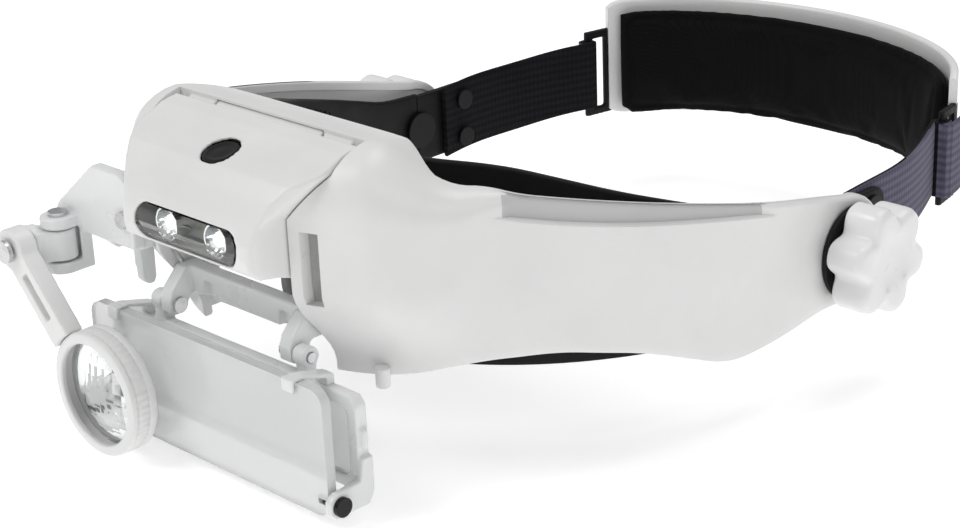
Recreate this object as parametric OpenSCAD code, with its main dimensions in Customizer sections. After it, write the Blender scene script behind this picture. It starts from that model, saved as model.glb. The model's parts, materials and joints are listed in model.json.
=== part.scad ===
// Head visor magnifier: headband, tilting visor with a lamp, hinged lens plates and a swing loupe.
// Millimetres. X runs across the head, -Y is the way the wearer looks and +Z is up.
// The origin is midway between the two side knobs, on their common axis.

/* [Visor shell] */
// Half width of the visor's plan curve
visor_half_w = 86; // [84:0.5:88]
// Reach of the plan curve in front of the knob axis
visor_reach = 128; // [124:0.5:132]
// Power of the superellipse that the plan curve follows
visor_power = 2.4; // [2.2:0.1:2.6]
// Outer face of the arm at the knob, from the middle
arm_face_x = 82.5; // [81:0.5:84]
// Wall thickness of the shell
wall = 2.6; // [2:0.1:3]
// Radius of the arm's round end about the knob axis
arm_end_r = 14.5; // [13:0.5:16]
// Distance of the roof's rear edge in front of the knob axis
roof_rear = 104; // [102:0.5:106]
// Height of the middle of the roof's rear edge
roof_top = 46; // [45.5:0.5:47]
// Extra height of the roof's crown over its rear edge
roof_crown = 5.5; // [5:0.5:6]
// How far the cheeks stand out in front of the plan curve
cheek_bulge = 12; // [9:0.5:13]

/* [Headband] */
// Half width of the brow band's ellipse, outer face
band_half_w = 78; // [76:0.5:79]
// Reach of the brow band's ellipse, outer face
band_reach = 102; // [98:0.5:104]
// Thickness of the brow band
band_t = 2.2; // [1.8:0.1:2.6]
// Thickness of the foam lining
lining_t = 4; // [3:0.5:5]
// Width of the webbing straps
strap_w = 22; // [20:0.5:24]
// Middle of the rear pad, behind the knob axis
rear_reach = 108; // [104:1:112]
// Height of the rear pad
pad_h = 34; // [30:1:38]

/* [Knobs] */
// Radius over the lobes of a side knob
knob_r = 15; // [14:0.5:16]
// Thickness of a side knob
knob_t = 12; // [10:0.5:13]
// Radius of the pivot bolt's shank
bolt_r = 2.5; // [2.5:0.1:3]

/* [Lamp] */
// Half width of the lamp housing at its shoulders
lamp_shoulder = 33.2; // [32:0.2:34]
// Half width of the lamp housing under its shoulders
lamp_waist = 24.6; // [24.6:0.1:25]
// Travel of the push button
button_travel = 1.2; // [0.8:0.1:1.4]
// Radius of the push button
button_r = 4.7; // [4.4:0.1:5]

/* [Lenses] */
// Half width of the front lens plate
front_lens_half_w = 43.5; // [42:0.5:44]
// Height of the front lens plate
front_lens_h = 32; // [30:0.5:32]
// Thickness of the front lens plate
front_lens_t = 2.6; // [2:0.1:3]
// Half width of the rear lens frame
frame_half_w = 45; // [44.5:0.1:45.2]

/* [Loupe] */
// Outer radius of the loupe ring
loupe_r = 16.2; // [15.8:0.1:16.6]
// Depth of the loupe ring
loupe_depth = 8; // [7:0.5:8]

/* [Hidden] */

// Running clearance of a pin in its hole
run = 0.05;
// Clearance of a part that swings past another
gap = 0.5;
// Length that carries a cut past both faces
past = 1;

// Plan curve of the visor
arm_tuck = visor_half_w - arm_face_x;
tuck_from = 45;
plan_step = 3;
// Shoulder between the wall and the roof
rim_round = 1.2;
roof_round = 9;

// Lamp housing and its hinge under the roof's front edge
lamp_hinge = [-118.5, 48.6];
waist_top = 35.5;
shoulder_top = 46;
lamp_hinge_r = 2.2;
lamp_pin_r = 1;
lamp_rear = 121;
lamp_nose = 148;
lamp_floor = 20;
lamp_wall = 1.4;
lamp_front_half_w = 23;
shoulder_y = 134;
knuckle_half_w = 19.5;
cell_r = 5.2;
cell_len = 44.5;
cell_y = -127.7;
cell_z = [27.6, 38.6];
window_half_w = 18.5;
window_z = [24.8, 33];
led_x = 9;
led_z = 28.9;
button_at = [0, -134.6, 45.6];
button_tilt = 15;
door_hinge = [-122, 20.9];
door_half_w = 22.5;
door_len = 11;
door_t = 1.6;

// Lens set
lens_axis = [-136, 2];
front_y = -145;
front_top = 1;
front_pin = [-145, -27];
frame_y = [-137.8, -134.4];
frame_z = [-27, -3];
frame_bar = 3;
hinge_pin_r = 1.2;
knuckle_r = 2.6;
post_x = [20.4, 24.4];
knuckle_x = [post_x[1] + 0.3, post_x[1] + 4.3];
crossbar_y = [-131.5, -127.5];
crossbar_z = [4, 11];
bracket_screw_at = [-125.4, 6.5];
screw_r = 1.25;

// Loupe
socket_x = [28, 32.5];
socket_z = [15, 33];
bar_axis = [-54, -146];
bar_z = [9.5, 17.5];
joint_at = [-58, -154, 14];
ring_at = [-29.2, -154, -17.4];
plate_y = [-142.8, -139.4];

// Side stack from the arm outwards
knob_from = arm_face_x + 2;
arm_inner_x = arm_face_x - wall;
band_lug_x = [band_half_w - band_t - 0.2, band_half_w];
rivet_y = 17;
rivet_z = [-6, 6];
rivet_r = 1.5;

function smooth(t) = let (c = min(max(t, 0), 1)) c * c * (3 - 2 * c);
function ramp(v, from, to) = smooth((v - from) / (to - from));
function mix(a, b, t) = a + (b - a) * t;

// Joins closed rings of points into one closed solid. All have the same even count, and in each one
// the first half runs along one face of the wall and the second half comes back along the other.
module skin(rings) {
    n = len(rings[0]);
    last = len(rings) - 1;
    sides = [for (i = [0:last - 1]) for (j = [0:n - 1])
        let (a = i * n + j, b = i * n + (j + 1) % n)
        each [[a, b + n, b], [a, a + n, b + n]]];
    first_cap = [for (j = [0:n / 2 - 2]) each [[j, j + 1, n - 2 - j], [j, n - 2 - j, n - 1 - j]]];
    last_cap = [for (f = first_cap) [for (j = [2:-1:0]) last * n + f[j]]];
    polyhedron([for (r = rings) each r], concat(sides, first_cap, last_cap));
}

module along_x(length, from) {
    translate([from, 0, 0]) rotate([90, 0, 90]) linear_extrude(length) children();
}

// A cylinder along X whose axis passes through (y, z).
module rod_x(y, z, r, x0, x1) {
    translate([x0, y, z]) rotate([0, 90, 0]) cylinder(h = x1 - x0, r = r, $fn = 48);
}

// A cylinder along Y whose axis passes through (x, z).
module rod_y(x, z, r, y0, y1) {
    translate([x, y1, z]) rotate([90, 0, 0]) cylinder(h = y1 - y0, r = r, $fn = 48);
}

module both_sides() {
    children();
    mirror([1, 0, 0]) children();
}

module rounded_rect(w, h, r) {
    square([w - 2 * r, h], center = true);
    square([w, h - 2 * r], center = true);
    for (x = [-1, 1]) for (y = [-1, 1])
        translate([x * (w / 2 - r), y * (h / 2 - r)]) circle(r = r, $fn = 32);
}

// ---- Visor shell ----

// Forward distance and half width of the plan curve at an angle from the side
function plan_fwd(a) = visor_reach * pow(sin(a), 2 / visor_power);
function plan_half(a) =
    visor_half_w * pow(max(cos(a), 0), 2 / visor_power) - arm_tuck * (1 - ramp(plan_fwd(a), 0, tuck_from));
function plan_point(a) = a > 90 ? [-plan_half(180 - a), -plan_fwd(180 - a)] : [plan_half(a), -plan_fwd(a)];
function plan_inward(a) =
    let (d = plan_point(min(a + 1, 180)) - plan_point(max(a - 1, 0))) [d[1], -d[0]] / norm(d);

function bottom_at(fwd) = lookup(fwd, [[0, -14.3], [12, -13.2], [49, -15], [60, -10.5], [73, -5.5],
    [93, -1], [108, -1.5], [120, -6], [130, -6.5]]);
function rim_at(fwd) = min(14.5 + 0.24 * fwd, 40);
function shoulder(x) = ramp(-abs(x), -56, -41);
function roof_at(x) = mix(40, roof_top, shoulder(x));
function crown_at(x, fwd) = roof_crown * shoulder(x) * sin(180 * min(max((fwd - 100) / 44, 0), 1));
function shell_top(p) = mix(rim_at(-p[1]), roof_at(p[0]), ramp(-p[1], 100, 112));
function bulge_at(x, z) = cheek_bulge * ramp(-abs(x), -60, -42) * ramp(z, -4, 18);

// A point of the shell at an inset from the plan curve: the cheeks are pushed forward, the roof is crowned
function shell_point(p, inward, inset, z, on_roof) =
    let (
        hold = 1 - ramp(inset, 1, roof_round + 12),
        y = p[1] + inward[1] * inset - bulge_at(p[0], z) * hold
    )
    [p[0] + inward[0] * inset, y, z + on_roof * crown_at(p[0], -y)];

function shell_ring(p, inward, z0, z1) =
    let (
        back = ramp(-p[1], 96, 116),
        r = mix(rim_round, roof_round, back),
        reach = inward[1] > 0.15 ? max((-roof_rear - p[1]) / inward[1], wall + 0.6) : wall + 0.6,
        depth = mix(wall + 0.6, max(reach, roof_round + 1), back),
        ri = max(r - wall, 0.2)
    )
    concat(
        [for (t = [0:0.2:1]) shell_point(p, inward, 0, mix(z0, z1 - r, t), 0)],
        [for (a = [22.5:22.5:90]) shell_point(p, inward, r * (1 - cos(a)), z1 - r + r * sin(a), a / 90)],
        [for (t = [0.33, 0.66, 1]) shell_point(p, inward, mix(r, depth, t), z1, 1)],
        [for (t = [1, 0.66, 0.33]) shell_point(p, inward, mix(max(r, wall) + 0.2, depth, t), z1 - wall, 1)],
        [for (a = [90:-22.5:22.5])
            shell_point(p, inward, max(r, wall + 0.2) - ri * cos(a), z1 - wall - ri + ri * sin(a), a / 90)],
        [for (t = [1:-0.2:0]) shell_point(p, inward, wall, mix(z0, z1 - wall - ri, t), 0)]
    );

// The arm's round end, as stations behind the knob axis
end_angles = [82, 65, 45, 22];
function end_ring(side, a) =
    shell_ring([side * arm_face_x, arm_end_r * sin(a)], [-side, 0], -arm_end_r * cos(a), arm_end_r * cos(a));
function arm_rings(side) = [for (a = end_angles) end_ring(side, a)];

shell_rings = concat(
    arm_rings(1),
    [for (a = [0:plan_step:180])
        let (p = plan_point(a)) shell_ring(p, plan_inward(a), bottom_at(-p[1]), shell_top(p))],
    [for (i = [len(end_angles) - 1:-1:0]) end_ring(-1, end_angles[i])]
);

// Opening between the cheeks, seen from the front
module lamp_opening(grow) {
    x = lamp_waist + grow;
    s = lamp_shoulder + grow;
    polygon([[-x, -40], [x, -40], [x, waist_top], [s, shoulder_top], [s, 80], [-s, 80],
        [-s, shoulder_top], [-x, waist_top]]);
}

// Vertical wall along the inner side of a cheek
module cheek_wall() {
    x = lamp_waist + gap;
    translate([x, 0, 0]) rotate([90, 0, 90]) linear_extrude(1.4)
        polygon([[-119, -4], [-123, -4], [-127.5, 6], [-133, 18], [-133, 34], [-119, 34]]);
}

module visor_shell() {
    color("gainsboro") difference() {
        union() {
            difference() {
                skin(shell_rings);
                translate([0, -119.5, 0]) rotate([90, 0, 0]) linear_extrude(40) lamp_opening(gap);
            }
            both_sides() cheek_wall();
            for (x = [-1, 1])
                rod_x(lamp_hinge[0], lamp_hinge[1], lamp_hinge_r,
                      x > 0 ? knuckle_half_w + 0.3 : -30, x > 0 ? 30 : -knuckle_half_w - 0.3);
            both_sides() translate([38, -122.5, -7.6]) cylinder(h = 5, r = 1.8, $fn = 32);
        }
        rod_x(lamp_hinge[0], lamp_hinge[1], lamp_pin_r + run, -31, 31);
        both_sides() rod_x(0, 0, bolt_r + 0.2, arm_inner_x - past, arm_face_x + past);
        both_sides() translate([socket_x[0], -145, socket_z[0]])
            cube([socket_x[1] - socket_x[0], 20, socket_z[1] - socket_z[0]]);
        both_sides() rod_x(bracket_screw_at[0], bracket_screw_at[1], screw_r, lamp_waist, 28);
        rod_x(lamp_hinge[0], lamp_hinge[1], lamp_hinge_r + 0.3, -knuckle_half_w, knuckle_half_w);
    }
}

module knob_washers() {
    color("#1c1c1e") both_sides() difference() {
        rod_x(0, 0, 12.4, arm_face_x + 0.7, knob_from - 0.1);
        rod_x(0, 0, bolt_r + 0.2, arm_face_x - past, knob_from + past);
    }
}

module lamp_hinge_pin() {
    color("silver") rod_x(lamp_hinge[0], lamp_hinge[1], lamp_pin_r, -29, 29);
}

// ---- Lens bracket between the cheeks ----

module lens_bracket() {
    color("whitesmoke") difference() {
        union() {
            translate([-post_x[0] - 0.5, crossbar_y[0], crossbar_z[0]])
                cube([2 * post_x[0] + 1, crossbar_y[1] - crossbar_y[0], crossbar_z[1] - crossbar_z[0]]);
            both_sides() along_x(post_x[1] - post_x[0], post_x[0])
                polygon([[-138.6, 0.4], [-137.2, -0.6], [-134.8, -0.6], [-133.2, 1.6], [-131.5, 4], [-123.2, 4],
                         [-123.2, 9.2], [-127.5, 11], [-133, 11], [-137.6, 6], [-138.6, 3.6]]);
        }
        both_sides() rod_x(lens_axis[0], lens_axis[1], hinge_pin_r, post_x[0] - past, post_x[1] + past);
        both_sides() rod_x(bracket_screw_at[0], bracket_screw_at[1], screw_r, post_x[0] - past, 30);
        for (x = [-14, 14]) translate([x - 1.6, crossbar_y[0] - past, crossbar_z[0] - past])
            cube([3.2, 2.6, 5]);
    }
}

module bracket_screws() {
    color("silver") both_sides() {
        rod_x(bracket_screw_at[0], bracket_screw_at[1], screw_r, post_x[0], lamp_waist + gap + 1.4);
        rod_x(bracket_screw_at[0], bracket_screw_at[1], 1.9, post_x[0] - 1.2, post_x[0]);
    }
}

module lens_hinge_pins() {
    color("silver") both_sides() {
        rod_x(lens_axis[0], lens_axis[1], hinge_pin_r, post_x[0], knuckle_x[1] + 0.4);
        rod_x(lens_axis[0], lens_axis[1], 2, post_x[0] - 0.9, post_x[0]);
    }
}

// ---- Loupe bracket on the wearer's right cheek ----

module loupe_bracket() {
    color("whitesmoke") difference() {
        union() {
            translate([0, plate_y[1], 0]) rotate([90, 0, 0]) linear_extrude(plate_y[1] - plate_y[0])
                polygon([[-27, 16.5], [-27, 33], [-31, 35.5], [-42, 35.5], [-58.6, 22], [-58.6, 16.5]]);
            translate([-socket_x[1] + 0.2, plate_y[1] - 0.2, socket_z[0] + 0.4])
                cube([socket_x[1] - socket_x[0] - 0.4, 13, socket_z[1] - socket_z[0] - 0.8]);
            for (z = [18, 6.2]) translate([bar_axis[0], bar_axis[1], z])
                cylinder(h = 2.8, r = 4.6, $fn = 48);
            translate([-58.6, bar_axis[1], 18]) cube([9.2, -bar_axis[1] + plate_y[1], 2.8]);
            translate([-58.6, plate_y[0], 6.2]) cube([9.2, plate_y[1] - plate_y[0], 12]);
            translate([-58.6, bar_axis[1], 6.2]) cube([9.2, -bar_axis[1] + plate_y[1], 2.8]);
            along_x(3.6, -42) polygon([[-142.8, 17], [-139.4, 13.6], [-133, 13.4], [-132.6, 2.6],
                [-131.4, 1.2], [-129.6, 1.2], [-128.8, 2.6], [-128.6, 12], [-134, 20], [-139.6, 21]]);
        }
        translate([bar_axis[0], bar_axis[1], 0]) cylinder(h = 30, r = 1.5, $fn = 48);
        translate([bar_axis[0], bar_axis[1], bar_z[0] - 0.3]) cylinder(h = 8.6, r = 5, $fn = 48);
        translate([-30.25, plate_y[0] - past, 24]) rotate([-90, 0, 0]) cylinder(h = 12, r = 1.1, $fn = 32);
    }
}

module loupe_bracket_screw() {
    color("silver") {
        rod_y(-30.25, 24, 1.1, plate_y[0], -132.4);
        rod_y(-30.25, 24, 2.2, plate_y[0] - 1.2, plate_y[0]);
    }
}

module loupe_bar_pin() {
    color("silver") translate([bar_axis[0], bar_axis[1], 5.4]) {
        cylinder(h = 15.6, r = 1.5, $fn = 48);
        translate([0, 0, 15.4]) cylinder(h = 1, r = 2.4, $fn = 48);
    }
}

// ---- Headband ----

// Point of an ellipse, in the front half of the head
function band_point(a, grow) = [(band_half_w + grow) * cos(a), -(band_reach + grow) * sin(a)];
function band_inward(a) = let (d = [cos(a) / band_half_w, -sin(a) / band_reach]) -d / norm(d);
function band_low(fwd) = lookup(fwd, [[0, -11], [14, -11], [50, -14.5], [104, -14]]);
function band_high(fwd) = lookup(fwd, [[0, 11], [14, 12], [47, 23], [64, 29], [76, 34], [86, 38], [104, 40]]);

function wall_ring(p, inward, t, low, high) =
    let (q = p + inward * t)
    [[p[0], p[1], low], [p[0], p[1], high], [q[0], q[1], high], [q[0], q[1], low]];

module brow_band() {
    color("#1c1c1e") difference() {
        union() {
            skin([for (a = [0:5:180])
                let (p = band_point(a, 0)) wall_ring(p, band_inward(a), band_t, band_low(-p[1]), band_high(-p[1]))]);
            both_sides() translate([band_lug_x[0], -0.5, -10.5]) cube([band_t + 0.2, 22.5, 21]);
        }
        both_sides() rod_x(0, 0, bolt_r + run, band_lug_x[0] - past, band_half_w + past);
        both_sides() for (z = rivet_z) rod_x(rivet_y, z, rivet_r, band_lug_x[0] - past, band_half_w + past);
    }
}

module brow_pad() {
    color("#111113") skin([for (a = [24:6:156])
        let (p = band_point(a, -band_t - 0.1))
        wall_ring(p, band_inward(a), lining_t * ramp(min(a - 18, 162 - a), 0, 16),
                  band_low(-p[1]) + 1.5, band_high(-p[1]) - 1.5)]);
}

module pivot_bolts() {
    color("silver") both_sides() {
        rod_x(0, 0, bolt_r, band_lug_x[0] - 0.4, knob_from + knob_t - 3);
        rod_x(0, 0, 5.5, band_lug_x[0] - 1.2, band_lug_x[0]);
    }
}

module friction_washers() {
    color("#2a2a2c") both_sides() difference() {
        rod_x(0, 0, 10, band_half_w + 0.1, arm_inner_x - 0.1);
        rod_x(0, 0, bolt_r + 0.2, band_half_w - past, arm_inner_x + past);
    }
}

// Webbing from the band's tail to the loop at the rear pad, as a slightly bowed path
strap_from = 9.5;
loop_at = [66, 69, 3];
function strap_point(t) =
    [mix(75.2, loop_at[0] - 1.2, t) + 4.2 * sin(180 * t), mix(strap_from, loop_at[1] - 2.2, t)];
function strap_inward(t) =
    let (d = strap_point(min(t + 0.02, 1)) - strap_point(max(t - 0.02, 0))) [-d[1], d[0]] / norm(d);
strap_t = 1.6;

module strap() {
    difference() {
        skin([for (t = [1:-0.1:-0.01])
            let (z = loop_at[2] * t)
            wall_ring(strap_point(t), strap_inward(t), strap_t, z - strap_w / 2, z + strap_w / 2)]);
        for (z = rivet_z) rod_x(rivet_y, z, rivet_r + run, 70, 80);
    }
}

module strap_left() { color("#26252b") strap(); }
module strap_right() { color("#26252b") mirror([1, 0, 0]) strap(); }

module strap_rivets() {
    color("#1c1c1e") both_sides() for (z = rivet_z) {
        rod_x(rivet_y, z, rivet_r, 73, band_half_w);
        rod_x(rivet_y, z, 3, band_half_w, band_half_w + 0.8);
        rod_x(rivet_y, z, 3, 72.4, 73.2);
    }
}

// Ellipse through the ends of the rear pad and its middle
rear_half_w = 70;
rear_from = 58;
function rear_point(a, grow) =
    [(rear_half_w + grow) * cos(a), rear_from + (rear_reach - rear_from + grow) * sin(a)];
function rear_inward(a) =
    let (d = [cos(a) / rear_half_w, sin(a) / (rear_reach - rear_from)]) -d / norm(d);
function end_fade(a, from) = sqrt(max(1 - pow(max(from + 8 - min(a, 180 - a), 0) / 8, 2), 0.02));

module rear_shell() {
    color("gainsboro") difference() {
        skin([for (a = [160:-4:20])
            let (h = pad_h / 2 * mix(0.86, 1, end_fade(a, 20)))
            wall_ring(rear_point(a, 0), rear_inward(a), 2.4, 5 - h, 5 + h + 4)]);
    }
}

module rear_pad() {
    color("#111113") skin([for (a = [158:-4:22])
        let (h = pad_h / 2 * mix(0.84, 1, end_fade(a, 22)))
        wall_ring(rear_point(a, -2.7), rear_inward(a), 7, 5 - h, 5 + h + 2.5)]);
}

// Flat loop that joins a strap to the rear shell: the strap folds round its front bar
module strap_loop() {
    color("#1c1c1e") translate(loop_at) rotate([0, 0, 11]) {
        difference() {
            translate([-0.9, -3.2, -14]) cube([1.8, 10.4, 28]);
            translate([-3, -0.8, -11.5]) cube([6, 5.2, 23]);
        }
    }
}

module strap_loop_left() { strap_loop(); }
module strap_loop_right() { mirror([1, 0, 0]) strap_loop(); }

// ---- Side knobs ----

module knob() {
    color("white") difference() {
        union() {
            for (k = [0:5]) rotate([60 * k + 30, 0, 0])
                rod_x(knob_r - 5, 0, 5, knob_from + 1.2, knob_from + knob_t);
            rod_x(0, 0, knob_r - 4.2, knob_from + 1.2, knob_from + knob_t);
            rod_x(0, 0, 7, knob_from, knob_from + knob_t - 1);
        }
        rod_x(0, 0, bolt_r + run, knob_from - past, knob_from + knob_t - 2.5);
    }
}

module knob_left() { knob(); }
module knob_right() { mirror([1, 0, 0]) knob(); }

// ---- Lamp ----

// Side outline of the lamp housing, shrunk towards its middle by a wall
function shrink(v, mid, half, t) = mid + (v - mid) * (half - t) / half;
lamp_side = [[-120.9, 47], [-121.4, 50.6], [-126, 49.8], [-130, 48], [-135, 46.4], [-139.4, 44.7],
    [-142.8, 41.2], [-145.6, 36.2], [-147.4, 31], [-lamp_nose, 27.4], [-147.4, 24.6], [-145.6, 23], [-140, 22],
    [-134, lamp_floor], [-121.4, lamp_floor], [-120.9, 22]];
lamp_mid = [-134.4, 35.3];

module lamp_form(t) {
    intersection() {
        along_x(100, -50) polygon([for (p = lamp_side)
            [shrink(p[0], lamp_mid[0], 13.6, t), shrink(p[1], lamp_mid[1], 15.3, t)]]);
        linear_extrude(90) polygon([for (s = [1, -1]) each [
            for (p = s > 0
                ? [[lamp_shoulder, -110], [lamp_shoulder, -shoulder_y], [lamp_front_half_w, -lamp_nose]]
                : [[lamp_front_half_w, -lamp_nose], [lamp_shoulder, -shoulder_y], [lamp_shoulder, -110]])
            [s * (p[0] - t), p[1]]]]);
        translate([0, -100, 0]) rotate([90, 0, 0]) linear_extrude(60) lamp_opening(-t);
    }
}

module window_outline(grow) {
    r = (window_z[1] - window_z[0]) / 2 + grow;
    translate([0, -140, (window_z[0] + window_z[1]) / 2]) rotate([90, 0, 0]) linear_extrude(12) {
        square([2 * window_half_w - 2 * r + 2 * grow, 2 * r], center = true);
        for (x = [-1, 1]) translate([x * (window_half_w - r + grow), 0]) circle(r = r, $fn = 48);
    }
}

module at_button() {
    translate(button_at) rotate([button_tilt, 0, 0]) children();
}

module lamp_housing() {
    color("white") difference() {
        union() {
            lamp_form(0);
            rod_x(lamp_hinge[0], lamp_hinge[1], lamp_hinge_r, -knuckle_half_w + 0.3, knuckle_half_w - 0.3);
            translate([-knuckle_half_w + 0.3, -122.5, lamp_hinge[1] - 2])
                cube([2 * knuckle_half_w - 0.6, 4, 3]);
        }
        lamp_form(lamp_wall);
        window_outline(0.3);
        at_button() translate([0, 0, -4]) cylinder(h = 8, r = button_r + 0.25, $fn = 64);
        rod_x(lamp_hinge[0], lamp_hinge[1], lamp_pin_r + run, -25, 25);
        translate([-door_half_w - 0.3, door_hinge[0] - door_len - 0.3, lamp_floor - 3])
            cube([2 * door_half_w + 0.6, door_len + 2.4, 6]);
    }
}

module lamp_window() {
    color([0.9, 0.95, 0.95, 0.5]) intersection() {
        window_outline(0);
        difference() {
            lamp_form(0.2);
            lamp_form(1.4);
        }
    }
}

module reflectors() {
    color("silver") for (x = [-led_x, led_x]) difference() {
        rod_y(x, led_z, 4, -145.2, -140);
        translate([x, -145.3, led_z]) rotate([-90, 0, 0]) cylinder(h = 4.6, r1 = 3.6, r2 = 1.9, $fn = 48);
    }
}

module leds() {
    color("#f4f6d8") for (x = [-led_x, led_x]) {
        rod_y(x, led_z, 1.5, -142.4, -140.8);
        translate([x, -142.4, led_z]) sphere(r = 1.5, $fn = 32);
    }
}

module led_board() {
    color("#2f6b45") translate([-18, -139.9, 24.8]) cube([36, 1.2, 8]);
}

module switch_body() {
    color("#202022") at_button() translate([-3, -6.4, -7]) {
        cube([6, 5, 2.8]);
        translate([3, 4.1, 2.7]) cylinder(h = 0.4, r = 0.9, $fn = 32);
    }
}

module battery_cells() {
    color("#7a8890") for (z = cell_z) {
        rod_x(cell_y, z, cell_r, -cell_len / 2, cell_len / 2 - 0.8);
        rod_x(cell_y, z, 1.9, cell_len / 2 - 1, cell_len / 2);
    }
}

module battery_contacts() {
    color("silver") both_sides() for (z = cell_z)
        translate([cell_len / 2 + 0.1, cell_y - 3.5, z - 3.5]) cube([0.7, 7, 7]);
}

module battery_door() {
    color("white") difference() {
        union() {
            translate([-door_half_w, door_hinge[0] - door_len, lamp_floor])
                cube([2 * door_half_w, door_len - 1, door_t]);
            rod_x(door_hinge[0], door_hinge[1] + 0.2, 0.9, -door_half_w, door_half_w);
        }
        translate([-6, door_hinge[0] - door_len + 1.4, lamp_floor - 0.5]) cube([12, 1.6, 1.1]);
    }
}

module push_button() {
    color("#151516") at_button() {
        translate([0, 0, -1.8]) cylinder(h = 2.2, r = button_r, $fn = 64);
        translate([0, 0, -2.6]) cylinder(h = 1, r = 2.6, $fn = 48);
    }
}

// ---- Lenses ----

module frame_outline(inset) {
    translate([0, (frame_z[0] + frame_z[1]) / 2])
        rounded_rect(2 * (frame_half_w - inset), frame_z[1] - frame_z[0] - 2 * inset, 3);
}

module rear_lens_frame() {
    color("whitesmoke") difference() {
        union() {
            translate([0, frame_y[1], 0]) rotate([90, 0, 0]) linear_extrude(frame_y[1] - frame_y[0])
                difference() {
                    frame_outline(0);
                    frame_outline(frame_bar);
                }
            both_sides() {
                rod_x(lens_axis[0], lens_axis[1], knuckle_r, knuckle_x[0], knuckle_x[1]);
                translate([knuckle_x[0], -137.6, frame_z[1] - 2])
                    cube([knuckle_x[1] - knuckle_x[0], 3.2, lens_axis[1] - frame_z[1] + 2]);
                along_x(2.2, front_lens_half_w + 0.6)
                    polygon([[frame_y[1], -18], [frame_y[1], -27], [-136, -30], [-146.5, -30.2],
                             [-148, -28.5], [-148, -25.4], [-146.5, -24], [-138.4, -23.2], [-137.6, -18]]);
                translate([frame_half_w - 0.4, -136.9, -16]) cube([1.5, 1.8, 5]);
            }
        }
        both_sides() rod_x(lens_axis[0], lens_axis[1], hinge_pin_r + run, knuckle_x[0] - past, 40);
        both_sides() rod_x(front_pin[0], front_pin[1], 1.4, 40, 50);
    }
}

module rear_lens() {
    color([0.85, 0.92, 0.95, 0.4]) translate([0, -134.8, 0]) rotate([90, 0, 0]) linear_extrude(2.6)
        frame_outline(frame_bar);
}

// Spring clips on the frame's top bar, which hold the front lens
module lens_clips() {
    color("whitesmoke") both_sides() {
        along_x(4, 31) polygon([[-134.6, -3], [-134.6, -0.6], [-143.6, 1.8], [-147.4, 1.8],
            [-147.4, -1.4], [-146.6, -1.4], [-146.6, 1.1], [-143.8, 1.1], [-137, -1.1], [-137, -3]]);
    }
}

module front_lens_screws() {
    color("#151516") both_sides() {
        rod_x(front_pin[0], front_pin[1], 1.4, 41.4, front_lens_half_w + 3);
        rod_x(front_pin[0], front_pin[1], 2.4, front_lens_half_w + 2.8, front_lens_half_w + 4);
    }
}

module front_lens() {
    color([0.85, 0.92, 0.95, 0.4]) difference() {
        translate([0, front_y + front_lens_t / 2, front_top - front_lens_h / 2])
            rotate([90, 0, 0]) linear_extrude(front_lens_t)
                rounded_rect(2 * front_lens_half_w, front_lens_h, 4);
        both_sides() rod_x(front_pin[0], front_pin[1], 1.4 + run, 40, 50);
    }
}

// ---- Loupe ----

module loupe_bar() {
    color("whitesmoke") difference() {
        union() {
            translate([bar_axis[0], bar_axis[1], bar_z[0]])
                cylinder(h = bar_z[1] - bar_z[0], r = 4.2, $fn = 48);
            translate([0, 0, bar_z[0]]) linear_extrude(bar_z[1] - bar_z[0])
                polygon([[-57.6, -147], [-62, -150.4], [-62, -153.2], [-54, -153.2], [-50.4, -147.4]]);
            rod_y(joint_at[0], joint_at[2], 4.6, -153.2, -150.4);
        }
        translate([bar_axis[0], bar_axis[1], 5]) cylinder(h = 20, r = 1.5 + run, $fn = 48);
        rod_y(joint_at[0], joint_at[2], 1.6, -160, -140);
    }
}

module loupe_joint_screw() {
    color("silver") {
        rod_y(joint_at[0], joint_at[2], 1.6, -159.6, -150.4);
        rod_y(joint_at[0], joint_at[2], 3, -160.6, -159.4);
    }
}

link_y = [-158.6, -153.6];
neck_at = [-40, -5.7];

module loupe_link() {
    turn = atan2(neck_at[1] - joint_at[2], neck_at[0] - joint_at[0]);
    length = norm([neck_at[0] - joint_at[0], neck_at[1] - joint_at[2]]);
    color("white") difference() {
        union() {
            rod_y(joint_at[0], joint_at[2], 5.4, link_y[0], link_y[1]);
            translate([joint_at[0], link_y[1], joint_at[2]]) rotate([90, -turn, 0])
                linear_extrude(link_y[1] - link_y[0]) translate([0, -4]) square([length, 8]);
        }
        rod_y(joint_at[0], joint_at[2], 1.6 + run, -165, -140);
        translate([joint_at[0], link_y[1] + past, joint_at[2]]) rotate([90, -turn, 0])
            linear_extrude(link_y[1] - link_y[0] + 2 * past) translate([7.5, -1.2]) square([13, 2.4]);
        rod_y(ring_at[0], ring_at[2], loupe_r + 0.02, -165, -140);
    }
}

module loupe_ring() {
    color("white") difference() {
        rod_y(ring_at[0], ring_at[2], loupe_r, ring_at[1] - loupe_depth / 2, ring_at[1] + loupe_depth / 2 - 0.4);
        rod_y(ring_at[0], ring_at[2], loupe_r - 3, -170, -140);
        rod_y(ring_at[0], ring_at[2], loupe_r - 1.8, ring_at[1] - loupe_depth / 2 + 1.4, -140);
    }
}

module loupe_lens() {
    color([0.85, 0.92, 0.95, 0.4]) intersection() {
        rod_y(ring_at[0], ring_at[2], loupe_r - 1.9, ring_at[1] - loupe_depth / 2 + 1.5, ring_at[1] + 1.1);
        translate([ring_at[0], ring_at[1] + 40, ring_at[2]]) sphere(r = 42.5, $fn = 96);
    }
}

module loupe_retainer() {
    color("#e8e8e8") difference() {
        rod_y(ring_at[0], ring_at[2], loupe_r - 1.85, ring_at[1] + 1.2, ring_at[1] + loupe_depth / 2 - 0.6);
        rod_y(ring_at[0], ring_at[2], loupe_r - 3.2, -170, -140);
    }
}

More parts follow.
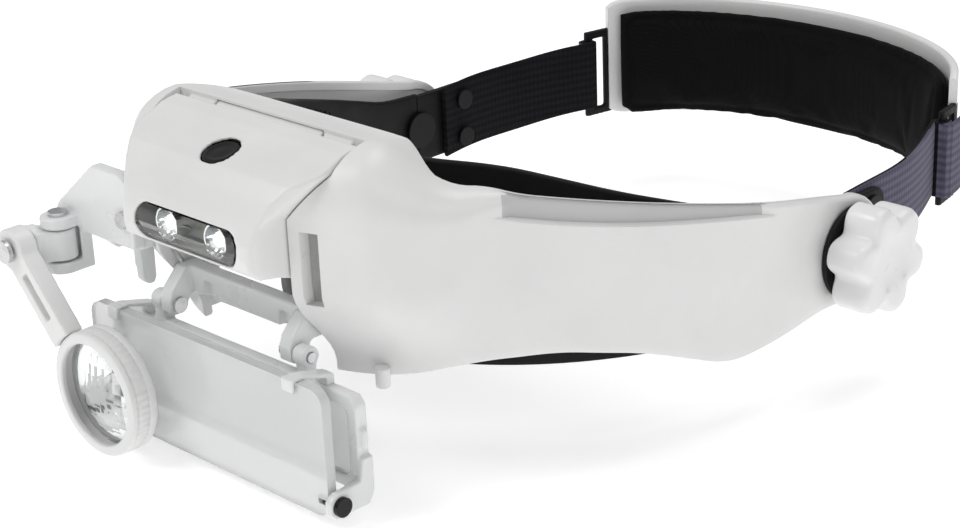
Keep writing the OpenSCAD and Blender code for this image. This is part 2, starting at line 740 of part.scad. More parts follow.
visor_shell();
knob_washers();
lamp_hinge_pin();
lens_bracket();
bracket_screws();
lens_hinge_pins();
loupe_bracket();
loupe_bracket_screw();
loupe_bar_pin();
brow_band();
brow_pad();
pivot_bolts();
friction_washers();
strap_left();
strap_right();
strap_rivets();
rear_shell();
rear_pad();
strap_loop_left();
strap_loop_right();
knob_left();
knob_right();
lamp_housing();
lamp_window();
reflectors();
leds();
led_board();
switch_body();
battery_cells();
battery_contacts();
battery_door();
push_button();
rear_lens_frame();
rear_lens();
lens_clips();
front_lens_screws();
front_lens();
loupe_bar();
loupe_joint_screw();
loupe_link();
loupe_ring();
loupe_lens();
loupe_retainer();
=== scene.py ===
"""Head visor magnifier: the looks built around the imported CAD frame. Shapes are worked out in millimetres."""
import bpy, bmesh, json, math
from math import sin, cos, pi, radians, sqrt, atan2
from mathutils import Vector, Matrix


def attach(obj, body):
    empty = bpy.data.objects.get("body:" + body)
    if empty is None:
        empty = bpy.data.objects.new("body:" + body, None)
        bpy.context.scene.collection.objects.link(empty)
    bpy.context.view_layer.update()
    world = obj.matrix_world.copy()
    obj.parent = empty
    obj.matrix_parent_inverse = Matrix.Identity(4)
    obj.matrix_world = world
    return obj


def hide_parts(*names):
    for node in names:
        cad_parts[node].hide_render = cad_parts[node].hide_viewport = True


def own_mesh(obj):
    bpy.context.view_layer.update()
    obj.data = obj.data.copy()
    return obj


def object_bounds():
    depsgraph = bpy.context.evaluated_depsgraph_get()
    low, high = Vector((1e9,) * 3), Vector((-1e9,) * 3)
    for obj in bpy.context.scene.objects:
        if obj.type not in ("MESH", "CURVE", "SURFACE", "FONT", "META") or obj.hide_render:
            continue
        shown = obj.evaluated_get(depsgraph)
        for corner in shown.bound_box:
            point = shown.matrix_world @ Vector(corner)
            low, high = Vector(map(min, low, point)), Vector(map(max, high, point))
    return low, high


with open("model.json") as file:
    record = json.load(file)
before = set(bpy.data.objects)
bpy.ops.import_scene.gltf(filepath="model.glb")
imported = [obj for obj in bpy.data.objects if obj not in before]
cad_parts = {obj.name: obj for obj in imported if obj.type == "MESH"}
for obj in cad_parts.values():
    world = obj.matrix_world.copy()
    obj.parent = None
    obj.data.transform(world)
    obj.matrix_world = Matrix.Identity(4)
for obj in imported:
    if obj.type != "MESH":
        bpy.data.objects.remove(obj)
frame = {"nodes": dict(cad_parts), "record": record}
cad_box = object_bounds()
NODES = frame["nodes"]
BODY_OF = {n: b for b, ns in frame["record"]["behaviour"]["bodies"].items() for n in ns}
MM = 0.001


# ---------------------------------------------------------------- small maths
def smooth(t):
    c = min(max(t, 0.0), 1.0)
    return c * c * (3 - 2 * c)


def ramp(v, a, b):
    return smooth((v - a) / (b - a))


def mix(a, b, t):
    return a + (b - a) * t


def lookup(x, table):
    if x <= table[0][0]:
        return table[0][1]
    for (x0, y0), (x1, y1) in zip(table, table[1:]):
        if x <= x1:
            return mix(y0, y1, (x - x0) / (x1 - x0))
    return table[-1][1]


def eased(x, table, reach=5):
    """lookup() averaged over a short stretch, so a moulded edge has no kinks"""
    steps = range(-4, 5)
    return sum(lookup(x + reach * k / 4, table) for k in steps) / len(steps)


# ---------------------------------------------------------------- mesh helpers
def new_object(name, verts, faces, body=None):
    me = bpy.data.meshes.new(name)
    me.from_pydata([Vector(v) * MM for v in verts], [], faces)
    me.validate()
    o = bpy.data.objects.new(name, me)
    bpy.context.scene.collection.objects.link(o)
    if body:
        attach(o, body)
    return o


def tidy(o, angle=38):
    """outward normals, smooth faces, and sharp edges only where the shape turns hard"""
    bm = bmesh.new()
    bm.from_mesh(o.data)
    bmesh.ops.remove_doubles(bm, verts=bm.verts, dist=2e-6)
    bmesh.ops.recalc_face_normals(bm, faces=bm.faces)
    for f in bm.faces:
        f.smooth = True
    for e in bm.edges:
        e.smooth = not (e.is_manifold and e.calc_face_angle(0) > radians(angle))
    bm.to_mesh(o.data)
    bm.free()
    return o


def bake(o):
    """applies every modifier"""
    dg = bpy.context.evaluated_depsgraph_get()
    me = bpy.data.meshes.new_from_object(o.evaluated_get(dg))
    o.modifiers.clear()
    o.data = me
    return o


def loft(name, rings, body=None, closed=False, angle=38):
    """joins rings of points; each ring is closed, and the ends are capped unless the loft itself closes"""
    n, m = len(rings[0]), len(rings)
    faces = []
    for i in range(m if closed else m - 1):
        a, b = i * n, ((i + 1) % m) * n
        faces += [[a + j, a + (j + 1) % n, b + (j + 1) % n, b + j] for j in range(n)]
    if not closed:
        faces += [list(range(n)), [(m - 1) * n + j for j in range(n)][::-1]]
    return tidy(new_object(name, [p for r in rings for p in r], faces, body), angle)


def lathe(name, profile, origin, axis, body=None, steps=64, wobble=None, angle=38):
    """turns (radius, height) points about an axis; wobble(angle, radius, height) changes the radius"""
    z = Vector(axis).normalized()
    x = z.orthogonal().normalized()
    y = z.cross(x)
    rings = []
    for k in range(steps):
        a = 2 * pi * k / steps
        ring = []
        for r, h in profile:
            rr = wobble(a, r, h) if wobble else r
            ring.append(Vector(origin) + (x * cos(a) + y * sin(a)) * rr + z * h)
        rings.append(ring)
    n, m = len(profile), steps
    faces = [[i * n + j, i * n + j + 1, ((i + 1) % m) * n + j + 1, ((i + 1) % m) * n + j]
             for i in range(m) for j in range(n - 1)]
    return tidy(new_object(name, [p for r in rings for p in r], faces, body), angle)


def soften(node, voxel, passes):
    """a moulded version of a CAD node: the same solid with its edges rounded over"""
    src = NODES[node]
    o = bpy.data.objects.new(node + "_moulded", src.data.copy())
    bpy.context.scene.collection.objects.link(o)
    bm = bmesh.new()
    bm.from_mesh(o.data)
    bmesh.ops.remove_doubles(bm, verts=bm.verts, dist=2e-6)
    bm.to_mesh(o.data)
    bm.free()
    m = o.modifiers.new("solid", "REMESH")
    m.mode, m.voxel_size, m.use_smooth_shade = "VOXEL", voxel * MM, True
    s = o.modifiers.new("round", "SMOOTH")
    s.factor, s.iterations = 0.5, passes
    bake(o)
    for p in o.data.polygons:
        p.use_smooth = True
    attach(o, BODY_OF[node])
    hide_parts(node)
    return o


def cut(o, tool):
    """takes a closed tool away from o and removes the tool"""
    m = o.modifiers.new("cut", "BOOLEAN")
    m.operation, m.solver, m.object = "DIFFERENCE", "EXACT", tool
    bake(o)
    bpy.data.objects.remove(tool)
    return o


def prism_y(outline, y0, y1):
    """closed prism along Y from an outline of (x, z) points"""
    rings = [[(x, y, z) for x, z in outline] for y in (y0, y1)]
    return loft("tool", rings)


def rod_x(y, z, r, x0, x1, steps=48):
    rings = [[(x, y + r * cos(2 * pi * k / steps), z + r * sin(2 * pi * k / steps)) for k in range(steps)]
             for x in (x0, x1)]
    return loft("tool", rings)


# ---------------------------------------------------------------- materials
class Paint:
    """a node material with a Principled shader; every texture works from object coordinates in metres"""

    def __init__(self, name, base, rough, **constants):
        self.m = bpy.data.materials.new(name)
        self.m.use_nodes = True
        self.t = self.m.node_tree
        self.bsdf = self.t.nodes["Principled BSDF"]
        self.bsdf.inputs["Base Color"].default_value = (*base, 1)
        self.bsdf.inputs["Roughness"].default_value = rough
        for k, v in constants.items():
            self.bsdf.inputs[k.replace("_", " ")].default_value = v
        self.base, self.rough = base, rough
        self.coord = self.t.nodes.new("ShaderNodeTexCoord").outputs["Object"]
        self.normal = None

    def node(self, kind, props=None, **ins):
        """adds a node; _0, _1 ... name an input by its number, and a socket given as a value is linked"""
        n = self.t.nodes.new(kind)
        for k, v in (props or {}).items():
            setattr(n, k, v)
        for k, v in ins.items():
            k = int(k[1:]) if k[0] == "_" and k[1:].isdigit() else k.replace("_", " ")
            if hasattr(v, "is_output"):
                self.t.links.new(v, n.inputs[k])
            else:
                n.inputs[k].default_value = v
        return n

    def noise(self, per_metre, detail=3, rough=0.55, distortion=0.0, coord=None):
        return self.node("ShaderNodeTexNoise", Vector=coord or self.coord, Scale=per_metre, Detail=detail,
                         Roughness=rough, Distortion=distortion).outputs["Fac"]

    def waves(self, per_metre, direction, coord=None, distortion=0.0):
        return self.node("ShaderNodeTexWave", {"bands_direction": direction, "wave_profile": "SIN"},
                         Vector=coord or self.coord, Scale=per_metre, Distortion=distortion).outputs["Fac"]

    def math(self, op, a, b=0.5, clamp=False):
        return self.node("ShaderNodeMath", {"operation": op, "use_clamp": clamp}, _0=a, _1=b).outputs[0]

    def span(self, fac, lo, hi, a, b):
        n = self.node("ShaderNodeMapRange", Value=fac, From_Min=lo, From_Max=hi, To_Min=a, To_Max=b)
        return n.outputs[0]

    def colour(self, fac, a, b):
        n = self.node("ShaderNodeMix", {"data_type": "RGBA"}, _0=fac, _6=(*a, 1), _7=(*b, 1))
        return n.outputs[2]

    def over(self, fac, under, colour):
        """lays a colour over another socket"""
        return self.node("ShaderNodeMix", {"data_type": "RGBA"}, _0=fac, _6=under, _7=(*colour, 1)).outputs[2]

    def bump(self, height, strength, distance):
        args = dict(Height=height, Strength=strength, Distance=distance * MM)
        if self.normal is not None:
            args["Normal"] = self.normal
        self.normal = self.node("ShaderNodeBump", **args).outputs[0]

    def soft_edges(self, radius):
        self.normal = self.node("ShaderNodeBevel", {"samples": 4}, Radius=radius * MM).outputs[0]

    def edge_mask(self):
        """bright on the outer edges, where handling polishes a moulding"""
        p = self.node("ShaderNodeNewGeometry").outputs["Pointiness"]
        return self.span(p, 0.52, 0.60, 0.0, 1.0)

    def done(self, colour=None, rough=None):
        if colour is not None:
            self.t.links.new(colour, self.bsdf.inputs["Base Color"])
        if rough is not None:
            self.t.links.new(rough, self.bsdf.inputs["Roughness"])
        if self.normal is not None:
            self.t.links.new(self.normal, self.bsdf.inputs["Normal"])
        return self.m


def scaled(rgb, k):
    return tuple(min(c * k, 1.0) for c in rgb)


DUST_TINT = (0.93, 0.91605, 0.8835)


def plastic(name, base, rough, grain=0.05, mottle=0.03, edge=0.35, scratches=True, **constants):
    """moulded plastic: faint cloudiness, a fine spark-eroded grain, rubbed edges and hairline scratches"""
    p = Paint(name, base, rough, **constants)
    p.soft_edges(0.35)
    cloud = p.noise(38, 4, 0.6)
    col = p.colour(p.span(cloud, 0.3, 0.7, 0, 1), scaled(base, 1 - mottle), scaled(base, 1 + mottle))
    dust = p.noise(420, 3, 0.7)
    col = p.over(p.span(dust, 0.60, 0.80, 0, 0.22), col, [b * w for b, w in zip(base, DUST_TINT)])
    col = p.over(p.math("MULTIPLY", p.edge_mask(), edge * 0.5), col, scaled(base, 1.0 + edge * 0.3))
    rub = p.noise(95, 3, 0.6)
    r = p.math("ADD", p.span(rub, 0.3, 0.7, rough - 0.06, rough + 0.07), p.span(dust, 0.4, 0.8, 0.0, 0.04))
    r = p.math("SUBTRACT", r, p.math("MULTIPLY", p.edge_mask(), 0.1), True)
    if scratches:
        stretch = p.node("ShaderNodeMapping", {"vector_type": "TEXTURE"}, Vector=p.coord,
                         Rotation=(0.5, 0.3, 0.7), Scale=(1.0, 26.0, 26.0)).outputs[0]
        hair = p.noise(9000, 1, 0.5, coord=stretch)
        line = p.span(hair, 0.72, 0.78, 0.0, 1.0)
        r = p.math("ADD", r, p.math("MULTIPLY", line, 0.12), True)
        p.bump(line, 0.05, -0.02)
    p.bump(p.noise(2600, 2, 0.6), grain, 0.05)
    p.bump(p.noise(34, 2, 0.5), 0.05, 0.35)
    return p.done(col, r)


def rubber(name, base, rough=0.62):
    """matt rubber with a faint grey bloom"""
    p = Paint(name, base, rough, Specular_IOR_Level=0.2)
    p.soft_edges(0.25)
    n = p.noise(700, 4, 0.7)
    col = p.colour(p.span(n, 0.35, 0.75, 0, 1), base, scaled(base, 2.1))
    bloom = p.noise(120, 3, 0.6)
    col = p.over(p.span(bloom, 0.55, 0.8, 0.0, 0.06), col, (0.1, 0.1, 0.105))
    p.bump(p.noise(3200, 2, 0.6), 0.22, 0.05)
    return p.done(col, p.span(bloom, 0.3, 0.7, rough - 0.1, rough + 0.12))


def metal(name, base, rough):
    """plated or polished metal with fine lines along X"""
    p = Paint(name, base, rough, Metallic=1.0)
    stretch = p.node("ShaderNodeMapping", {"vector_type": "TEXTURE"}, Vector=p.coord,
                     Scale=(30.0, 1.0, 1.0)).outputs[0]
    lines = p.noise(5200, 2, 0.5, coord=stretch)
    col = p.colour(p.span(p.noise(260, 3, 0.6), 0.3, 0.7, 0, 1), scaled(base, 0.82), scaled(base, 1.08))
    p.bump(lines, 0.12, 0.02)
    return p.done(col, p.span(lines, 0.3, 0.7, rough - 0.08, rough + 0.12))


def clear(name, tint, rough=0.02, ior=1.49, mist=0.05, weight=1.0):
    """clear moulding: surface haze, dust specks and a soft ripple of the moulded face"""
    p = Paint(name, tint, rough, Transmission_Weight=weight, IOR=ior)
    cells = p.node("ShaderNodeTexVoronoi", {"feature": "F1"}, Vector=p.coord, Scale=700.0)
    specks = cells.outputs["Distance"]
    dust = p.span(specks, 0.0, 0.09, 1.0, 0.0)
    haze = p.noise(60, 4, 0.6)
    col = p.colour(p.span(haze, 0.3, 0.7, 0, 1), tint, scaled(tint, 0.985))
    col = p.over(p.math("MULTIPLY", dust, 0.25), col, (0.8, 0.8, 0.78))
    p.bump(p.noise(42, 2, 0.4), 0.03, 0.3)
    r = p.math("ADD", p.span(haze, 0.35, 0.75, rough, rough + mist), p.math("MULTIPLY", dust, 0.3), True)
    return p.done(col, r)


def cloth(name, dark, light, pitch, sheen=0.25, fuzz=0.5, rough=0.88):
    """plain weave: two thread directions crossing, with loose fibres on top; pitch is in millimetres"""
    p = Paint(name, dark, rough, Sheen_Weight=sheen, Sheen_Roughness=0.45, Specular_IOR_Level=0.12)
    f = 1000 / pitch / pi
    a = p.waves(f, "DIAGONAL", distortion=0.6)
    rot = p.node("ShaderNodeMapping", Vector=p.coord, Rotation=(0.0, 0.0, pi / 2)).outputs[0]
    b = p.waves(f, "DIAGONAL", coord=rot, distortion=0.6)
    weave = p.math("MULTIPLY", a, b)
    lint = p.noise(1500, 3, 0.7)
    patch = p.noise(70, 3, 0.6)
    col = p.colour(p.math("MULTIPLY", weave, p.span(patch, 0.3, 0.7, 0.5, 1.0)), dark, light)
    col = p.over(p.span(lint, 0.66, 0.8, 0.0, 0.25), col, scaled(light, 2.2))
    p.bump(weave, 0.5, 0.12)
    p.bump(lint, 0.12, fuzz * 0.2)
    return p.done(col, p.span(patch, 0.3, 0.7, rough - 0.05, min(rough + 0.06, 1.0)))


def webbing(name, dark, light, across="Z", rib=1.15, pick=0.75, sheen=0.05):
    """ribbed elastic: warp ribs along the strap, fine weft picks across them"""
    p = Paint(name, dark, 0.82, Sheen_Weight=sheen, Sheen_Roughness=0.4, Specular_IOR_Level=0.15)
    ribs = p.waves(1000 / rib / (2 * pi), across)
    picks = p.waves(1000 / pick / (2 * pi), "Y", distortion=0.8)
    weave = p.math("MULTIPLY", p.span(ribs, 0.0, 1.0, 0.35, 1.0), p.span(picks, 0.0, 1.0, 0.55, 1.0))
    fluff = p.noise(1800, 3, 0.7)
    col = p.colour(weave, dark, light)
    col = p.over(p.span(fluff, 0.64, 0.8, 0.0, 0.3), col, scaled(light, 1.7))
    col = p.over(p.span(p.noise(55, 3, 0.6), 0.5, 0.75, 0.0, 0.35), col, scaled(dark, 0.8))
    p.bump(ribs, 0.55, 0.25)
    p.bump(picks, 0.35, 0.12)
    p.bump(fluff, 0.15, 0.1)
    return p.done(col, p.span(fluff, 0.3, 0.7, 0.76, 0.94))


WHITE = plastic("white_abs", (0.80, 0.80, 0.795), 0.36, grain=0.05, Coat_Weight=0.12, Coat_Roughness=0.25,
                Subsurface_Weight=0.04, Subsurface_Radius=(0.002, 0.002, 0.002))
# painted shade: the recess under the arm's top edge gets this matt, darker grey, which stands in for the shade
# in the recess
RECESS_PAINTED_SHADE = plastic("recess_matt_painted_shade", (0.56, 0.56, 0.56), 0.6, grain=0.16, edge=0.1, scratches=False)
WHITE_KNOB = plastic("white_knob", (0.84, 0.84, 0.84), 0.32, grain=0.03, Subsurface_Weight=0.18,
                     Subsurface_Radius=(0.004, 0.004, 0.004), Coat_Weight=0.15, Coat_Roughness=0.2)
MILKY = plastic("milky_moulding", (0.80, 0.805, 0.81), 0.3, grain=0.03, Subsurface_Weight=0.25,
                Subsurface_Radius=(0.003, 0.003, 0.003), Coat_Weight=0.25, Coat_Roughness=0.15)
BLACK = plastic("black_abs", (0.006, 0.006, 0.007), 0.5, grain=0.12, mottle=0.2, edge=0.9,
                Specular_IOR_Level=0.18)
BLACK_GLOSS = plastic("black_button", (0.005, 0.005, 0.006), 0.32, grain=0.05, mottle=0.2, edge=0.8,
                      Specular_IOR_Level=0.25)
RUBBER = rubber("washer_rubber", (0.010, 0.010, 0.011))
STEEL = metal("plated_steel", (0.62, 0.62, 0.63), 0.28)
CHROME = metal("metallised", (0.88, 0.89, 0.90), 0.07)
PLATE = clear("lens_plate_acrylic", (0.95, 0.955, 0.955), 0.03, 1.45, mist=0.07, weight=0.5)
LENS = clear("optical_acrylic", (0.975, 0.985, 0.99), 0.015, 1.49)
WINDOW = clear("lamp_window", (0.985, 0.995, 0.99), 0.02, 1.3, mist=0.04)
FOAM = cloth("pad_fabric", (0.0022, 0.0022, 0.0025), (0.0075, 0.0075, 0.008), 0.55, sheen=0.015)
STRAP_IN = webbing("strap_black", (0.003, 0.003, 0.004), (0.012, 0.0115, 0.014), sheen=0.02)
STRAP_OUT = webbing("strap_purple_grey", (0.062, 0.055, 0.088), (0.16, 0.148, 0.215), sheen=0.12)


def led_paint():
    """clear epoxy that glows a little, pale green to white"""
    p = Paint("led_epoxy", (0.95, 0.97, 0.86), 0.12, Emission_Strength=1.6, Coat_Weight=0.5)
    n = p.noise(900, 2)
    col = p.colour(p.span(n, 0.3, 0.7, 0, 1), (0.86, 0.93, 0.62), (1.0, 1.0, 0.95))
    p.t.links.new(col, p.bsdf.inputs["Emission Color"])
    return p.done(col, p.span(n, 0.3, 0.7, 0.08, 0.2))


def board_paint():
    """off-white solder mask with a faint grid of pads"""
    p = Paint("solder_mask", (0.72, 0.74, 0.72), 0.35)
    grid = p.node("ShaderNodeTexBrick", Vector=p.coord, Scale=320.0, Mortar_Size=0.06,
                  Color1=(0.74, 0.76, 0.74, 1), Color2=(0.68, 0.71, 0.69, 1), Mortar=(0.5, 0.5, 0.46, 1))
    p.bump(grid.outputs["Fac"], 0.3, 0.03)
    return p.done(grid.outputs["Color"], p.span(p.noise(400), 0.3, 0.7, 0.25, 0.45))


def cell_paint():
    """printed foil sleeve with plain bands"""
    p = Paint("cell_sleeve", (0.25, 0.28, 0.31), 0.3, Metallic=0.5)
    bands = p.waves(26, "X")
    col = p.colour(p.span(bands, 0.45, 0.55, 0, 1), (0.16, 0.18, 0.2), (0.42, 0.44, 0.46))
    return p.done(col, p.span(p.noise(300), 0.3, 0.7, 0.25, 0.45))


LED, BOARD, CELL = led_paint(), board_paint(), cell_paint()


def dress(o, *mats):
    """gives an object these materials and no others"""
    o.data.materials.clear()
    for m in mats:
        o.data.materials.append(m)
    return o


# ---------------------------------------------------------------- visor shell
# the same sizes as the CAD solid
HALF_W, REACH, POWER, ARM_FACE = 86.0, 128.0, 2.4, 82.5
WALL, ARM_END, ROOF_REAR, ROOF_TOP, ROOF_CROWN, BULGE = 2.6, 14.5, 104.0, 46.0, 5.5, 12.0
RIM_ROUND, ROOF_ROUND = 1.2, 9.0
LOWER_EDGE = [(0, -14.3), (12, -13.2), (49, -15), (60, -10.5), (73, -5.5), (93, -1),
              (108, -1.5), (120, -6), (130, -6.5)]
HINGE = (-118.5, 48.6)
KNUCKLE_HALF_W, KNUCKLE_R = 19.5, 2.2
LAMP_WAIST, LAMP_SHOULDER, WAIST_TOP, SHOULDER_TOP, GAP = 24.6, 33.2, 35.5, 46.0, 0.5
LAMP_OPENING_Y = (-159.5, -119.5)
SOCKET_X, SOCKET_Z, SOCKET_Y = (28, 32.5), (15, 33), (-145, -125)
BOLT_HOLE_R = 2.7
RECESS_DEPTH, RECESS_FROM, RECESS_TO = 1.7, 36, 101.5


def plan_fwd(a):
    return REACH * max(sin(a), 0) ** (2 / POWER)


def plan_half(a):
    return HALF_W * max(cos(a), 0) ** (2 / POWER) - (HALF_W - ARM_FACE) * (1 - ramp(plan_fwd(a), 0, 45))


def plan_point(deg):
    a = radians(deg if deg <= 90 else 180 - deg)
    return Vector((plan_half(a) if deg <= 90 else -plan_half(a), -plan_fwd(a)))


def plan_inward(deg):
    d = plan_point(min(deg + 1, 180)) - plan_point(max(deg - 1, 0))
    return Vector((d.y, -d.x)).normalized()


def shoulder(x):
    return ramp(-abs(x), -56, -41)


def shell_point(p, inward, inset, z, on_roof):
    """a point at an inset from the plan curve: the cheeks are pushed forward and the roof is crowned"""
    hold = 1 - ramp(inset, 1, ROOF_ROUND + 12)
    x = p.x + inward.x * inset
    bulge = BULGE * ramp(-abs(p.x), -60, -42) * ramp(z, -4, 18)
    y = p.y + inward.y * inset - bulge * hold
    crown = ROOF_CROWN * shoulder(p.x) * sin(pi * min(max((-y - 100) / 44, 0), 1))
    return (x, y, z + on_roof * crown)


def arm_top(fwd):
    return min(14.5 + 0.24 * fwd, 40)


def groove_height(fwd):
    return mix(2.4, 5.4, ramp(fwd, 24, 96))


def groove(fwd, below_top):
    """depth of the step under the top edge of the arm: it starts hard at the cheek and tapers to the rear"""
    along = ramp(fwd, 32, 40) * (1 - ramp(fwd, 101, 103.5))
    height = groove_height(fwd)
    return RECESS_DEPTH * along * (1 - ramp(below_top, height, height + 0.5))


def shell_ring(p, inward, z0, z1):
    """closed cross-section: up the outer face, over the shoulder to the roof's rear edge, and back inside"""
    fwd = -p.y
    back = ramp(fwd, 96, 116)
    r = mix(RIM_ROUND, ROOF_ROUND, back)
    lip = WALL + 0.6
    reach = max((-ROOF_REAR - p.y) / inward.y, lip) if inward.y > 0.15 else lip
    depth = mix(lip, max(reach, ROOF_ROUND + 1), back)
    ri = max(r - WALL, 0.2)
    half = (z1 - z0) / 2
    e = min(0.7, half * 0.3)
    side = [(e, z0), (e * 0.3, z0 + e * 0.3), (0, z0 + e)]
    top = z1 - r
    span = top - z0 - e
    lip_z = top - min(max(groove_height(fwd) - r, 0.03 * span), 0.5 * span)
    lip_low = lip_z - min(0.5, 0.2 * span)
    side += [(0, mix(z0 + e, lip_low, k / 18)) for k in range(1, 19)]
    side += [(0, mix(lip_low, lip_z, k / 4)) for k in range(1, 5)]
    side += [(0, mix(lip_z, top, k / 6)) for k in range(1, 7)]
    side = [(i + (groove(fwd, z1 - z) if fwd > 14 else 0), z) for i, z in side]
    out = [shell_point(p, inward, i, z, 0) for i, z in side]
    for k in range(1, 9):
        a = pi / 2 * k / 8
        g = groove(fwd, z1 - top - r * sin(a)) if fwd > 14 else 0
        out.append(shell_point(p, inward, g + r * (1 - cos(a)), top + r * sin(a), k / 8))
    inner_edge = max(r, WALL) + 0.2
    top_in = [mix(r, depth - e * 0.5, k / 8) for k in range(1, 9)]
    out += [shell_point(p, inward, i, z1, 1) for i in top_in]
    out.append(shell_point(p, inward, depth, z1 - e * 0.5, 1))
    out += [shell_point(p, inward, mix(inner_edge, depth, k / 8), z1 - WALL, 1) for k in range(8, 0, -1)]
    inner_top = z1 - WALL - ri
    for k in range(8, 0, -1):
        a = pi / 2 * k / 8
        inset = max(r, WALL + 0.2) - ri * cos(a)
        out.append(shell_point(p, inward, inset, inner_top + ri * sin(a), k / 8))
    out += [shell_point(p, inward, WALL, mix(z0 + e, inner_top, k / 12), 0) for k in range(12, -1, -1)]
    out += [shell_point(p, inward, WALL - e * 0.3, z0 + e * 0.3, 0), shell_point(p, inward, WALL - e, z0, 0)]
    return out


def roof_at(x):
    return mix(40, ROOF_TOP, shoulder(x))


def side_ring(deg):
    p = plan_point(deg)
    fwd = -p.y
    top = mix(arm_top(fwd), roof_at(p.x), ramp(fwd, 100, 112))
    return shell_ring(p, plan_inward(deg), eased(fwd, LOWER_EDGE), top)


def end_ring(side, a):
    p = Vector((side * ARM_FACE, ARM_END * sin(radians(a))))
    h = ARM_END * cos(radians(a))
    return shell_ring(p, Vector((-side, 0)), -h, h)


ENDS = [84, 78, 71, 63, 54, 44, 33, 22, 11]
rings = [end_ring(1, a) for a in ENDS]
rings += [side_ring(d) for d in [0.5 * k for k in range(0, 24)] + list(range(12, 169)) +
          [168.5 + 0.5 * k for k in range(0, 24)]]
rings += [end_ring(-1, a) for a in reversed(ENDS)]
shell = loft("shell_moulding", rings)
w, s = LAMP_WAIST + GAP, LAMP_SHOULDER + GAP
right_half = [(w, -40), (w, WAIST_TOP), (s, SHOULDER_TOP), (s, 80)]
left_half = [(-x, z) for x, z in right_half]
cut(shell, prism_y(left_half[:1] + right_half + left_half[:0:-1], *LAMP_OPENING_Y))
for side in (-1, 1):
    x0, x1 = sorted(side * x for x in SOCKET_X)
    z0, z1 = SOCKET_Z
    cut(shell, prism_y([(x0, z0), (x1, z0), (x1, z1), (x0, z1)], *SOCKET_Y))
    cut(shell, rod_x(0, 0, BOLT_HOLE_R, *sorted((side * (ARM_FACE - WALL - 1), side * (ARM_FACE + 1)))))
cut(shell, rod_x(*HINGE, KNUCKLE_R + 0.3, -KNUCKLE_HALF_W, KNUCKLE_HALF_W))
tidy(shell, 32)
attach(shell, "visor")
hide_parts("visor_shell")
dress(shell, WHITE, RECESS_PAINTED_SHADE)
for f in shell.data.polygons:  # the recess under the arm's top edge gets the matt grey whose darker colour is painted shade
    x, y, z = f.center / MM
    below_top = arm_top(-y) - z
    in_recess = RECESS_FROM < -y < RECESS_TO and 0 < below_top < groove_height(-y) + 0.4
    if in_recess and f.normal.x * x > 0 and abs(f.normal.z) < 0.8:
        f.material_index = 1

# inner walls of the cheeks, hinge barrels and the two small feet under the cheeks
SIDES = ((1, "left"), (-1, "right"))
CHEEK_WALL = [(-119, -4), (-123, -4), (-127.5, 6), (-133, 18), (-133, 34), (-119, 34)]
BARREL = [(1.05, 0.3), (1.9, 0.3), (KNUCKLE_R, 0.6), (KNUCKLE_R, 9.9), (1.9, 10.2), (1.05, 10.2), (1.05, 0.3)]
FOOT = [(0.01, 0), (1.3, 0), (1.7, 0.3), (1.8, 0.8), (1.8, 5.0), (0.01, 5.0)]
FOOT_AT = (38, -122.5, -7.6)
for side, tag in SIDES:
    x0 = side * (LAMP_WAIST + GAP)
    wall_rings = [[(x0 + side * d, y, z) for y, z in CHEEK_WALL] for d in (0.05, 1.4)]
    wall_piece = loft("cheek_wall_" + tag, wall_rings, "visor")
    barrel = lathe("hinge_barrel_" + tag, BARREL, (side * KNUCKLE_HALF_W, *HINGE), (side, 0, 0), "visor")
    foot = lathe("foot_" + tag, FOOT, (side * FOOT_AT[0], *FOOT_AT[1:]), (0, 0, 1), "visor", 40)
    for piece in (wall_piece, barrel, foot):
        dress(piece, WHITE)


# ---------------------------------------------------------------- side knobs
def knob_profile():
    """radius over the body against height from the arm side; the lobes are added by the wobble"""
    pts = [(2.6, 0.0), (6.7, 0.0), (7.0, 0.3), (7.0, 1.1)]
    pts += [(13.8, 1.25), (14.5, 1.45), (14.85, 1.9), (15.0, 2.6), (15.0, 5.5), (15.0, 9.4)]
    pts += [(14.85, 10.4), (14.4, 11.2), (13.6, 11.7), (12.6, 11.95), (10.0, 12.0), (7.8, 11.8)]
    pts += [(6.0, 11.3), (4.6, 10.9), (2.0, 10.75), (0.01, 10.75)]
    return pts


def lobes(a, r, h):
    """six round lobes with hollows between them"""
    if r < 7.1:
        return r
    k = ramp(r, 7.0, 12.0)
    valley = (0.5 - 0.5 * cos(6 * a)) ** 1.6
    return r - 3.6 * valley * k


KNOB_FROM = ARM_FACE + 2
for side, tag in SIDES:
    knob = lathe("knob_moulding_" + tag, knob_profile(), (side * KNOB_FROM, 0, 0), (side, 0, 0),
                 tag + "_knob", 144, lobes, 50)
    dress(knob, WHITE_KNOB)
    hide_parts("knob_" + tag)


# ---------------------------------------------------------------- lamp
dress(soften("lamp_housing", 0.5, 5), WHITE)
button_tilt = radians(15)
BUTTON = (0, -134.6, 45.6)
axis = Vector((0, -sin(button_tilt), cos(button_tilt)))
CAP = [(0.01, -1.8), (4.4, -1.8), (4.7, -1.5), (4.7, -0.1), (4.55, 0.2), (4.1, 0.38), (3.6, 0.36),
       (3.1, 0.22), (2.4, 0.18), (1.2, 0.26), (0.01, 0.3)]
STEM = [(0.01, -2.6), (2.4, -2.6), (2.6, -2.4), (2.6, -1.8)]
cap = lathe("button_cap", CAP, BUTTON, axis, "lamp_button", 72)
stem = lathe("button_stem", STEM, BUTTON, axis, "lamp_button", 40)
dress(cap, BLACK_GLOSS)
dress(stem, BLACK_GLOSS)
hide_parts("push_button")

